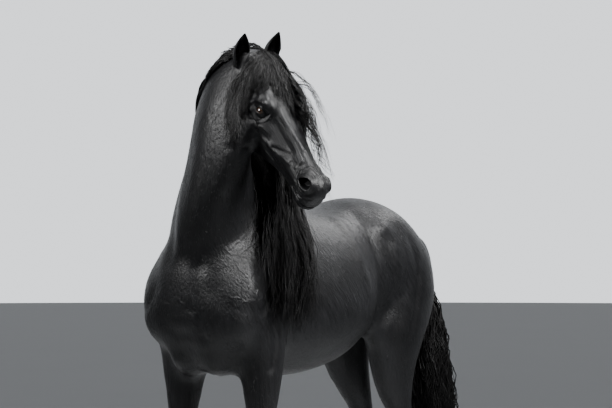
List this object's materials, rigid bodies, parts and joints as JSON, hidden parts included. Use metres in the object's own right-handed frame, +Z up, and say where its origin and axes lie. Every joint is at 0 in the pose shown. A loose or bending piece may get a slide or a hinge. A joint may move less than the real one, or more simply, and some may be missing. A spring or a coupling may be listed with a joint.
{
  "type": "friesian horse",
  "caption": "Life-size still model of a black horse standing with a raised arched neck, its head turned to its left, long mane and tail, feathered legs.",
  "frame": {"origin": "on the ground, below the middle of the bounding box", "axes": "+X the way the horse faces, +Y its left side, +Z up"},
  "size_m": [1.9936, 0.939, 2.2056],
  "materials": {
    "coat": "glossy black coat, mane, tail and feather",
    "horn": "dark hoof horn with faint growth rings",
    "eye": "wet dark brown eye"
  },
  "bodies": {
    "root": {"head": "coat", "neck": "coat", "torso": "coat", "tail": "coat", "ear_left": "coat", "ear_right": "coat", "fore_left_upper": "coat", "fore_left_lower": "coat", "fore_right_upper": "coat", "fore_right_lower": "coat", "hind_left_upper": "coat", "hind_left_lower": "coat", "hind_right_upper": "coat", "hind_right_lower": "coat", "eye_left": "eye", "eye_right": "eye", "fore_left_hoof": "horn", "fore_right_hoof": "horn", "hind_left_hoof": "horn", "hind_right_hoof": "horn"}
  },
  "joints": []
}
